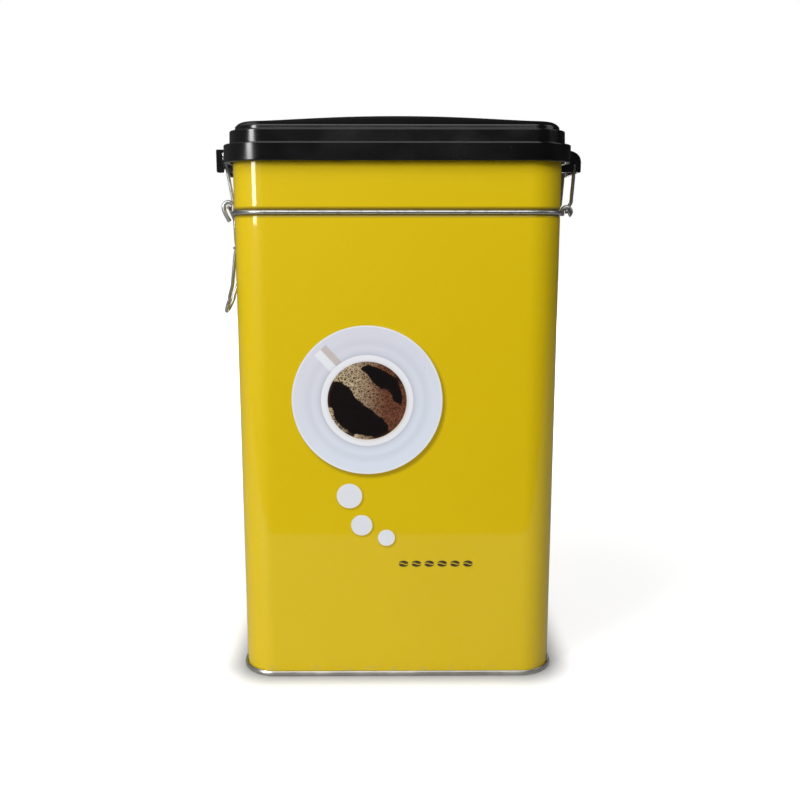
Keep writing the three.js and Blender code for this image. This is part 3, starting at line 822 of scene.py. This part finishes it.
def make_tin():
    printed = printed_material()
    bare = tinplate_material("bare_tinplate", srgb(206, 205, 199), 0.3)
    inside = tinplate_material("inside_lacquer", srgb(200, 192, 170), 0.34)
    steel = wire_material()

    body = make_object("printed_body", tin_body)
    place(body, "tin", "tin_body", "printed_steel", printed, inside, bare)
    for face in body.data.polygons:
        centre, normal = face.center / MM, face.normal
        depth = min(HALF_WIDTH - abs(centre.x), HALF_DEPTH - abs(centre.y))
        outward = normal.x * centre.x + normal.y * centre.y
        if centre.z > BODY_TOP - 1.9:
            face.material_index = 2
        elif outward < 0 and (abs(normal.z) < 0.8 or depth > 2.5):
            face.material_index = 1

    base = make_object("seamed_base", bottom_end)
    place(base, "tin", "bottom_end", "tinplate", bare)

    route = neck_wire()
    sides = {"neck_wire_front": route, "neck_wire_back": mirror_y(route)}
    for node, points in sides.items():
        ring = make_object(node.replace("neck_wire", "ring_wire"), lambda b: wire(b, points, NECK_WIRE))
        place(ring, "tin", node, "wire", steel)

    lever = make_object("lever_handle", lambda b: wire(b, lever_wire(), LEVER_WIRE))
    place(lever, "lever", "closure_lever", "wire", steel)
    bail = make_object("bail_loop", lambda b: wire(b, bail_wire(), BAIL_WIRE))
    place(bail, "bail", "closure_bail", "wire", steel)
    link = make_object("link_stirrup", lambda b: wire(b, link_wire(), LINK_WIRE))
    place(link, "link", "hinge_link", "wire", steel)

    place(make_lid(), "lid", "lid", "lid_plastic", lid_material())
    place(make_object("seal_ring", lid_seal), "lid", "lid_seal", "seal", seal_material())


# ---- studio --------------------------------------------------------------------------------------
def area_light(name, azimuth, elevation, distance, size, watts):
    """A soft box. Azimuth 0 is in front of the tin and grows towards its left, in degrees."""
    data = bpy.data.lights.new(name, "AREA")
    data.shape = "RECTANGLE"
    data.size, data.size_y = size
    data.energy = watts
    light = bpy.data.objects.new(name, data)
    bpy.context.scene.collection.objects.link(light)
    turn, lift = math.radians(azimuth), math.radians(elevation)
    aim = Vector((0, 0, 0.1))
    away = Vector((-math.sin(turn) * math.cos(lift), -math.cos(turn) * math.cos(lift), math.sin(lift)))
    light.visible_camera = False
    light.location = aim + away * distance
    light.rotation_mode = "QUATERNION"
    light.rotation_quaternion = away.to_track_quat("Z", "Y")


def make_studio():
    world = bpy.data.worlds.new("studio")
    bpy.context.scene.world = world
    world.use_nodes = True
    tree = world.node_tree
    background = tree.nodes["Background"]
    background.inputs["Color"].default_value = (1, 1, 1, 1)
    # The room is dim, and lighter towards the upper left; the backdrop itself is white.
    coords = tree.nodes.new("ShaderNodeTexCoord")
    towards = tree.nodes.new("ShaderNodeVectorMath")
    towards.operation = "DOT_PRODUCT"
    towards.inputs[1].default_value = (-0.95, -0.1, 0.25)
    tree.links.new(coords.outputs["Generated"], towards.inputs[0])
    level = tree.nodes.new("ShaderNodeMapRange")
    level.interpolation_type = "SMOOTHSTEP"
    level.inputs["From Min"].default_value = -0.1
    level.inputs["From Max"].default_value = 1.0
    level.inputs["To Min"].default_value = 0.03
    level.inputs["To Max"].default_value = 0.15
    tree.links.new(towards.outputs["Value"], level.inputs["Value"])
    path = tree.nodes.new("ShaderNodeLightPath")
    pick = tree.nodes.new("ShaderNodeMix")
    tree.links.new(path.outputs["Is Camera Ray"], pick.inputs[0])
    tree.links.new(level.outputs[0], pick.inputs[2])
    pick.inputs[3].default_value = 1.0
    tree.links.new(pick.outputs[0], background.inputs["Strength"])

    def floor_mesh(build):
        corners = [(-2500, FLOOR_FRONT / MM), (2500, FLOOR_FRONT / MM), (2500, 3000), (-2500, 3000)]
        build.faces.new([build.verts.new((x, y, 0)) for x, y in corners])

    floor = make_object("table_top", floor_mesh)
    g = Graph("pale_table", 0.6)
    # The photograph is white round the tin. The table glows for the camera only, so it looks
    # overexposed without lighting the tin, and a soft shadow round the foot is part of its colour.
    out_x = g.math("MAXIMUM", g.add(g.math("ABSOLUTE", g.x), CORNER_RADIUS - HALF_WIDTH), 0.0)
    out_y = g.math("MAXIMUM", g.add(g.math("ABSOLUTE", g.y), CORNER_RADIUS - HALF_DEPTH), 0.0)
    outside = g.math("SQRT", g.add(g.times(out_x, out_x), g.times(out_y, out_y)))
    lit = g.ramp(outside, CORNER_RADIUS - 3, CORNER_RADIUS + TABLE_SHADOW)
    pale = g.mix(g.noise(180.0, 2.0), srgb(192, 192, 192), srgb(188, 188, 188))
    g.colour(g.mix(lit, srgb(150, 150, 150), pale))
    g.shader.inputs["Emission Color"].default_value = (1, 1, 1, 1)
    reach = g.math("SQRT", g.add(g.times(g.x, g.x), g.times(g.y, g.y)))
    seen = g.tree.nodes.new("ShaderNodeLightPath").outputs["Is Camera Ray"]
    glow = g.times(g.ramp(reach, 90, 400, TABLE_GLOW, 1.2), g.add(g.times(lit, 0.95), 0.05))
    g.link(g.times(glow, seen), g.shader.inputs["Emission Strength"])
    floor.data.materials.append(g.material)

    area_light("key", 41, 16, 1.0, (0.22, 0.42), 5.2)
    area_light("fill", 8, 46, 0.64, (0.8, 0.46), 2.9)
    area_light("side", 95, 55, 1.4, (1.2, 0.8), 2)
    area_light("right", -80, 30, 1.2, (0.6, 0.6), 1.6)
    area_light("behind", 180, 3, 1.5, (0.5, 0.4), 9)
    bpy.context.scene.view_settings.view_transform = "Standard"


make_camera()
make_tin()
make_studio()
